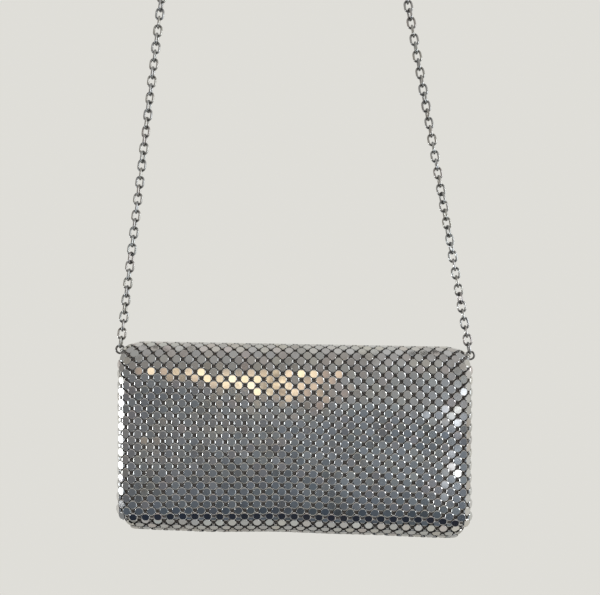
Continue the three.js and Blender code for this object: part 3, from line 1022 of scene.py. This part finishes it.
class PURSE_OT_cloth(Operator):
    """Make the dark cloth that shows through the mesh"""

    bl_idname = "purse.cloth"
    bl_label = "Cloth behind the mesh"

    def execute(self, context):
        pattern = Pattern(context.scene.purse_shape)
        wall = pattern.s.wall
        reach = pattern.flap_reach() - CLOTH_MARGIN
        end = pattern.length - CLOTH_MARGIN
        count = CLOTH_STEPS + 1
        across, along = np.meshgrid(
            np.linspace(-reach, reach, count), np.linspace(CLOTH_MARGIN, end, count)
        )
        piece, area = line_mesh("flap_cloth", "mesh_flap", pattern.flap_sheet, across, along, wall, False)
        flat = (2 * reach, pattern.length - 2 * CLOTH_MARGIN)

        total = float(np.sum(pattern.pouch_lengths()))
        around, share = np.meshgrid(
            np.linspace(0, total, 2 * CLOTH_STEPS + 1)[:-1], np.linspace(0, 1, CLOTH_STEPS_UP + 1)
        )
        rim_y = pattern.pouch_outline(around[0], np.zeros(around.shape[1]))[1] + pattern.middle
        top = pattern.bottom_way + pattern.pouch_rim(rim_y) - pattern.bottom_centre - CLOTH_MARGIN
        up = (1 - share) * top[None] + share * CLOTH_RIDGE
        piece, area = line_mesh("pouch_cloth", "mesh_pouch", pattern.pouch, around, up, wall, True)
        flat = (total, pattern.pouch_height())
        return {"FINISHED"}


class ChainRoute:
    """The middle line of the chain: up one strand, round the peg and down the other."""

    def __init__(self, chain):
        self.radius = chain.peg_radius + chain.link_width / 2
        self.centre = -chain.peg_radius
        self.sides = [self.side(LEFT_RING), self.side(RIGHT_RING)]
        self.halves = [strand + self.radius * (math.pi - touch) for ring, strand, touch in self.sides]
        self.length = sum(self.halves)

    def side(self, ring):
        """A ring, the length of the strand over it, and the angle where the strand meets the bend."""
        below = self.centre - ring.z
        away = math.hypot(ring.x, below)
        strand = math.sqrt(away**2 - self.radius**2)
        return ring, strand, math.atan2(abs(ring.x), below) + math.acos(self.radius / away)

    def at(self, length):
        """The place and the direction of the route at a length from the left ring."""
        right = length > self.halves[0]
        near = self.length - length if right else length
        ring, strand, touch = self.sides[right]
        way = 1 if right else -1
        turn = touch + max(near - strand, 0) / self.radius
        place = Vector((way * self.radius * math.sin(turn), 0, self.centre - self.radius * math.cos(turn)))
        direction = Vector((way * math.cos(turn), 0, math.sin(turn)))
        if near < strand:
            direction = (place - ring).normalized()
            place = ring.lerp(place, near / strand)
        return place, -way * direction


class PURSE_OT_chain(Operator):
    """Make the chain, link by link"""

    bl_idname = "purse.chain"
    bl_label = "Chain"

    def execute(self, context):
        chain = context.scene.purse_chain
        route = ChainRoute(chain)
        chance = np.random.default_rng(chain.seed)
        inside = chain.link_length - 2 * chain.wire
        first = chain.ring_radius - chain.ring_wire - chain.wire + inside / 2
        pitch = inside - 2 * chain.wire - chain.slack
        count = 2 * round((route.length - 2 * first) / pitch / 2) + 1
        spacing = (route.length - 2 * first) / (count - 1)
        places = []
        frames = []
        for index in range(count):
            place, along = route.at(first + index * spacing)
            aside = Vector((0, 1, 0)) if index % 2 == 0 else Vector((0, 1, 0)).cross(along)
            loose = chance.normal(0, chain.twist) if 0 < index < count - 1 else 0
            aside = Quaternion(along, loose) @ aside
            places.append(place)
            frames.append([along, aside, along.cross(aside)])
        tones = chance.random(count)
        piece = stamp("chain_links", link_unit(chain), np.array(places), np.array(frames), tones)
        dress(piece, "chain", "chain_steel")
        return {"FINISHED"}


class PURSE_OT_end_rings(Operator):
    """Make the ring at each end of the fold"""

    bl_idname = "purse.end_rings"
    bl_label = "End rings"

    def execute(self, context):
        chain = context.scene.purse_chain
        frames = np.array([[[1, 0, 0], [0, 0, 1], [0, -1, 0]]], float)
        # The end rings are darkened all over with painted shade.
        unit = torus_unit(chain.ring_radius, chain.ring_wire, steps=40, sides=12, dark=0.7)
        tones = np.array([0.3])
        for centre, node in ((LEFT_RING, "corner_ring_left"), (RIGHT_RING, "corner_ring_right")):
            piece = stamp(node.replace("corner", "end"), unit, np.array([centre]), frames, tones)
            dress(piece, node, "chain_steel")
        return {"FINISHED"}


class PURSE_OT_snap(Operator):
    """Finish the hidden snap"""

    bl_idname = "purse.snap"
    bl_label = "Snap"

    def execute(self, context):
        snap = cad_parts["hidden_snap"]
        snap.data.materials.clear()
        snap.data.materials.append(material_named("snap_steel"))
        return {"FINISHED"}


def area_light(name, offset, size, power, colour):
    """A soft lamp that the camera doesn't see."""
    place = Vector(FOLD_PLACE) + Vector(offset)
    target = Vector(FOLD_PLACE - LAMP_TARGET * FOLD_TURN[2])
    data = bpy.data.lights.new(name, "AREA")
    data.shape = "RECTANGLE"
    data.size, data.size_y = size
    data.energy = power
    data.color = colour
    lamp = bpy.data.objects.new(name, data)
    lamp.location = place
    lamp.rotation_mode = "QUATERNION"
    lamp.rotation_quaternion = (target - place).to_track_quat("-Z", "Y")
    lamp.visible_camera = False
    bpy.context.scene.collection.objects.link(lamp)


def with_glow(tree, around, tangents, glow):
    """Adds a glow to the colours of the room, given the tangents of a direction across and in height."""
    across, height, rise, half_width, half_height, colours = glow
    aside = calculate(tree, "SUBTRACT", tangents[0], across)
    middle = plus(tree, times(tree, aside, rise), height)
    above = calculate(tree, "SUBTRACT", tangents[1], middle)
    shares = [
        calculate(tree, "ABSOLUTE", calculate(tree, "DIVIDE", way, half))
        for way, half in ((aside, half_width), (above, half_height))
    ]
    far = calculate(tree, "MAXIMUM", *shares)
    ramp = colour_ramp(tree, far, GLOW_PLACES, colours)
    return blend_colours(tree, spread(tree, far, GLOW_FADE, 1.0, 1.0, 0.0), around, ramp)


def room_world(scene):
    """A pale wall behind the purse, and a dimmer room in front of it that its metal reflects."""
    world = bpy.data.worlds.new("Room")
    world.use_nodes = True
    tree = world.node_tree
    place = new_node(tree, "TexCoord").outputs["Generated"]
    part = new_node(tree, "SeparateXYZ", Vector=place).outputs
    height = times(tree, plus(tree, part["Z"], 1.0), 0.5)
    heights, left, right = zip(*ROOM)
    shares = [(own + 1) / 2 for own in heights]
    walls = [colour_ramp(tree, height, shares, colours) for colours in (left, right)]
    room = blend_colours(tree, spread(tree, part["X"], -SIDES_BLEND, SIDES_BLEND), *walls)
    ahead = calculate(tree, "MAXIMUM", times(tree, part["Y"], -1.0), 0.01)
    tangents = [calculate(tree, "DIVIDE", part[axis], ahead) for axis in ("X", "Z")]
    for glow in GLOWS:
        room = with_glow(tree, room, tangents, glow)
    back = plus(tree, part["Y"], times(tree, part["X"], WALL_LEAN[0]))
    back = calculate(tree, "SUBTRACT", back, times(tree, part["Z"], WALL_LEAN[1]))
    around = blend_colours(tree, spread(tree, back, *WALL_EDGE), room, WALL_COLOUR)
    seen = new_node(tree, "LightPath").outputs["Is Camera Ray"]
    around = blend_colours(tree, seen, around, WALL_COLOUR)
    tree.links.new(around, tree.nodes["Background"].inputs["Color"])
    scene.world = world


class PURSE_OT_stage(Operator):
    """Make the camera, the lamps, the room and the floor"""

    bl_idname = "purse.stage"
    bl_label = "Stage"

    def execute(self, context):
        scene = context.scene
        stage = scene.purse_stage
        data = bpy.data.cameras.new("Camera")
        data.sensor_width = 36
        data.lens = stage.focal_pixels * data.sensor_width / stage.photo_width
        camera = bpy.data.objects.new("Camera", data)
        away = -scene.purse_shape.fold_radius - stage.distance
        camera.location = np.array((stage.aside, away, stage.above)) @ FOLD_TURN + FOLD_PLACE
        camera.rotation_mode = "QUATERNION"
        level = Vector((0, 1, 0)).to_track_quat("-Z", "Y")
        camera.rotation_quaternion = level @ Quaternion((0, 0, 1), stage.roll)
        scene.collection.objects.link(camera)
        scene.camera = camera

        for lamp in LAMPS:
            area_light(*lamp)
        room_world(scene)

        sides = 64
        turns = [2 * math.pi * step / sides for step in range(sides)]
        radius = stage.floor_radius
        back = stage.floor_back
        points = [(radius * math.cos(t), back + radius * math.sin(t), stage.floor_height) for t in turns]
        floor = make_object("Floor", points, list(range(sides)), [sides], [False])
        floor.data.materials.append(new_material("pale_floor", Base_Color=FLOOR_COLOUR, Roughness=0.9)[0])
        scene.view_settings.view_transform = "Standard"
        return {"FINISHED"}


OPERATORS = (
    PURSE_OT_stage,
    PURSE_OT_flap,
    PURSE_OT_pouch,
    PURSE_OT_cloth,
    PURSE_OT_chain,
    PURSE_OT_end_rings,
    PURSE_OT_snap,
)


class PURSE_PT_panel(Panel):
    """Lists the steps that make the purse"""

    bl_label = "Metal mesh purse"
    bl_idname = "PURSE_PT_panel"
    bl_space_type = "VIEW_3D"
    bl_region_type = "UI"
    bl_category = "Purse"

    def draw(self, context):
        for operator in OPERATORS:
            self.layout.operator(operator.bl_idname)


GROUPS = {
    "purse_shape": PurseShape,
    "purse_discs": PurseDiscs,
    "purse_chain": PurseChain,
    "purse_finish": PurseFinish,
    "purse_stage": PurseStage,
}
CLASSES = (*GROUPS.values(), *OPERATORS, PURSE_PT_panel)


def register():
    for item in CLASSES:
        bpy.utils.register_class(item)
    for name, group in GROUPS.items():
        setattr(bpy.types.Scene, name, PointerProperty(type=group))


def unregister():
    for name in GROUPS:
        delattr(bpy.types.Scene, name)
    for item in reversed(CLASSES):
        bpy.utils.unregister_class(item)


def main():
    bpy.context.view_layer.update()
    register()
    bpy.ops.purse.stage()
    bpy.ops.purse.flap()
    bpy.ops.purse.pouch()
    bpy.ops.purse.cloth()
    bpy.ops.purse.chain()
    bpy.ops.purse.end_rings()
    bpy.ops.purse.snap()


if __name__ == "__main__":
    main()
